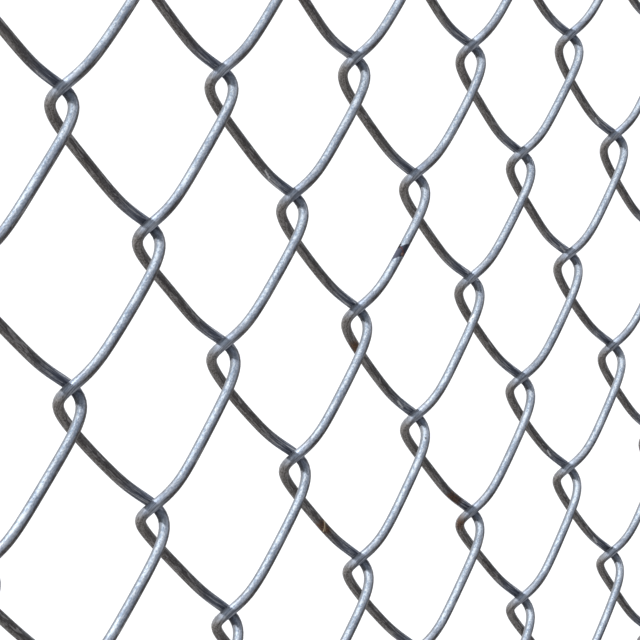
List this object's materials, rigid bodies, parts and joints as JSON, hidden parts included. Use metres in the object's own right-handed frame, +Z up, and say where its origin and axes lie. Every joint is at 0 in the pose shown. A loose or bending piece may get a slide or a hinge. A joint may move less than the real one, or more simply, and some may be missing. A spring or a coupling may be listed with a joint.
{
  "type": "chain link fence panel",
  "caption": "Short bay of chain link fence: interlocked zigzag wires on tension bars between two capped tube posts, with top and bottom rails, bands and ties.",
  "frame": {"origin": "centre of the left post's foot face, at ground level", "axes": "+X along the fence to the right post, +Y away from the face the fabric is on, +Z up"},
  "size_m": [0.749, 0.056, 0.7257],
  "materials": {
    "woven_wire": "weathered hot-dip galvanised wire, mottled, with a few rust spots",
    "tube": "galvanised tube, dull, faintly spangled",
    "pressed_fitting": "galvanised pressed strip",
    "flat_bar": "galvanised flat bar",
    "cap_casting": "die-cast, matt",
    "tie_wire": "soft drawn wire, dull"
  },
  "bodies": {
    "root": {"bottom_rail": "tube", "bottom_rail_ties": "tie_wire", "left_brace_bands": "pressed_fitting", "left_post": "tube", "left_rail_ends": "pressed_fitting", "left_tension_bands": "pressed_fitting", "left_tension_bar": "flat_bar", "picket_01": "woven_wire", "picket_02": "woven_wire", "picket_03": "woven_wire", "picket_04": "woven_wire", "picket_05": "woven_wire", "picket_06": "woven_wire", "picket_07": "woven_wire", "picket_08": "woven_wire", "picket_09": "woven_wire", "picket_10": "woven_wire", "picket_11": "woven_wire", "picket_12": "woven_wire", "picket_13": "woven_wire", "picket_14": "woven_wire", "picket_15": "woven_wire", "picket_16": "woven_wire", "picket_17": "woven_wire", "picket_18": "woven_wire", "post_caps": "cap_casting", "right_brace_bands": "pressed_fitting", "right_post": "tube", "right_rail_ends": "pressed_fitting", "right_tension_bands": "pressed_fitting", "right_tension_bar": "flat_bar", "top_rail": "tube", "top_rail_ties": "tie_wire"}
  },
  "joints": []
}
